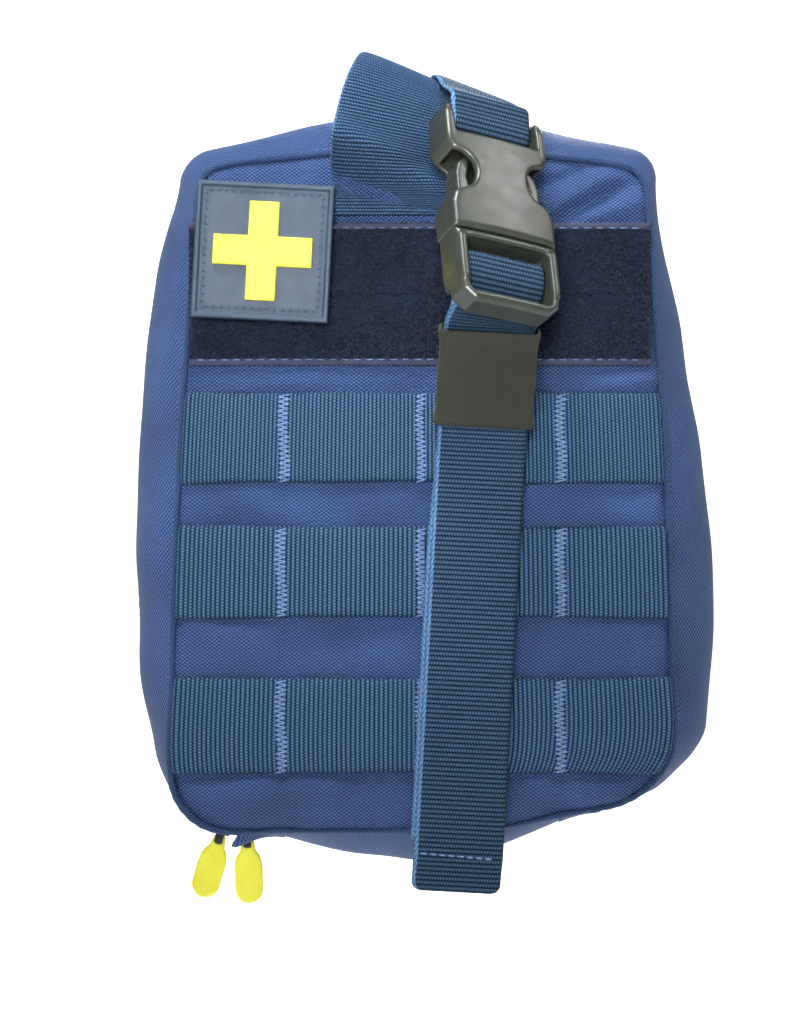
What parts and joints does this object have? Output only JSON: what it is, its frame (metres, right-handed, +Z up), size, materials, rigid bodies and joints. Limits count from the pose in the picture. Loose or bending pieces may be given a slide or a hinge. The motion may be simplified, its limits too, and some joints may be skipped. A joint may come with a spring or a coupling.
{
  "type": "medical pouch",
  "caption": "Rip-away first-aid pouch with webbing rows, cross patch, carry handle, zip pulls and a buckled retention strap on a webbing-mounted platform",
  "frame": {"origin": "the centre of the rear face that lies against the host, on the middle line between the two mounting straps", "axes": "+X to the right seen from the front, +Y back into the host, +Z up; the front faces -Y"},
  "size_m": [0.163, 0.1148, 0.2373],
  "materials": {
    "navy_fabric": "matte",
    "webbing": "matte",
    "loop_pile": "matte",
    "hook_tape": "matte",
    "elastic": "matte",
    "mesh": "matte",
    "zip_tape": "matte",
    "zip_coil": "satin",
    "buckle_plastic": "satin",
    "snap_metal": "satin",
    "slider_metal": "satin",
    "patch_pvc": "satin",
    "patch_yellow": "satin",
    "pull_yellow": "satin"
  },
  "bodies": {
    "platform": {"platform_panel": "navy_fabric", "platform_loop_field": "loop_pile", "platform_webbing_upper": "webbing", "platform_webbing_middle": "webbing", "platform_webbing_lower": "webbing", "snap_stud_left": "snap_metal", "snap_stud_right": "snap_metal"},
    "mounting_left": {"mounting_strap_left": "webbing", "snap_cap_left": "snap_metal"},
    "mounting_right": {"mounting_strap_right": "webbing", "snap_cap_right": "snap_metal"},
    "pouch": {"back_hook_field": "hook_tape", "back_panel": "navy_fabric", "back_piping": "navy_fabric", "rear_side_wall": "navy_fabric", "bottom_panel_rear": "navy_fabric", "zip_tape_rear": "zip_tape", "zip_coil_rear": "zip_coil", "organiser_band_upper": "elastic", "organiser_band_lower": "elastic"},
    "cover": {"front_panel": "navy_fabric", "front_piping": "navy_fabric", "front_side_wall": "navy_fabric", "bottom_panel_front": "navy_fabric", "zip_tape_front": "zip_tape", "zip_coil_front": "zip_coil", "mesh_pocket": "mesh", "loop_field_upper": "loop_pile", "loop_field_lower": "loop_pile", "front_webbing_upper": "webbing", "front_webbing_middle": "webbing", "front_webbing_lower": "webbing", "carry_handle": "webbing", "retention_strap_upper": "webbing", "buckle_socket": "buckle_plastic"},
    "lower_strap": {"buckle_plug": "buckle_plastic", "retention_strap_lower": "webbing"},
    "prong_left": {"buckle_prong_left": "buckle_plastic"},
    "prong_right": {"buckle_prong_right": "buckle_plastic"},
    "keeper": {"elastic_keeper": "elastic"},
    "patch": {"patch_hook_backing": "hook_tape", "patch_base": "patch_pvc", "patch_cross": "patch_yellow"},
    "slider_lower": {"zip_slider_lower": "slider_metal"},
    "slider_upper": {"zip_slider_upper": "slider_metal"},
    "pull_lower": {"zip_pull_lower": "pull_yellow"},
    "pull_upper": {"zip_pull_upper": "pull_yellow"}
  },
  "joints": [
    {"name": "mounting_left_hinge", "type": "hinge", "parent": "platform", "child": "mounting_left", "pos_m": [-0.0381, 0, 0.082], "axis": [1, 0, 0], "range_deg": [0, 90]},
    {"name": "mounting_right_hinge", "type": "hinge", "parent": "platform", "child": "mounting_right", "pos_m": [0.0381, 0, 0.082], "axis": [1, 0, 0], "range_deg": [0, 90]},
    {"name": "rip_away", "type": "slide", "parent": "platform", "child": "pouch", "axis": [0, -1, 0], "range_m": [0, 0.06]},
    {"name": "cover_hinge", "type": "hinge", "parent": "pouch", "child": "cover", "pos_m": [0, -0.039, -0.1044], "axis": [1, 0, 0], "range_deg": [0, 90]},
    {"name": "buckle_release", "type": "slide", "parent": "cover", "child": "lower_strap", "axis": [0.0653, -0.4357, -0.8977], "range_m": [0, 0.026]},
    {"name": "prong_left_flex", "type": "hinge", "parent": "lower_strap", "child": "prong_left", "pos_m": [0.01272, -0.09912, 0.066], "axis": [0.4582, -0.7861, 0.4149], "range_deg": [-8, 0], "stiffness_Nm_per_rad": 0.15},
    {"name": "prong_right_flex", "type": "hinge", "parent": "lower_strap", "child": "prong_right", "pos_m": [0.02566, -0.09272, 0.06384], "axis": [0.4582, -0.7861, 0.4149], "range_deg": [0, 8], "stiffness_Nm_per_rad": 0.15},
    {"name": "keeper_slide", "type": "slide", "parent": "lower_strap", "child": "keeper", "axis": [-0.0497, 0.4099, -0.9108], "range_m": [0, 0.01]},
    {"name": "patch_pull", "type": "slide", "parent": "cover", "child": "patch", "axis": [0, -1, 0], "range_m": [0, 0.03]},
    {"name": "slider_lower_travel", "type": "hinge", "parent": "cover", "child": "slider_lower", "pos_m": [-0.0495, -0.0436, -0.0685], "axis": [0, 1, 0], "range_deg": [0, 3]},
    {"name": "slider_upper_travel", "type": "hinge", "parent": "cover", "child": "slider_upper", "pos_m": [-0.0495, -0.0436, -0.0685], "axis": [0, 1, 0], "range_deg": [0, 62]},
    {"name": "pull_lower_swing", "type": "hinge", "parent": "slider_lower", "child": "pull_lower", "pos_m": [-0.0495, -0.0436, -0.1005], "axis": [0, 1, 0], "range_deg": [-75, 0]},
    {"name": "pull_upper_swing", "type": "hinge", "parent": "slider_upper", "child": "pull_upper", "pos_m": [-0.05767, -0.0436, -0.09944], "axis": [0, 1, 0], "range_deg": [0, 60]}
  ]
}
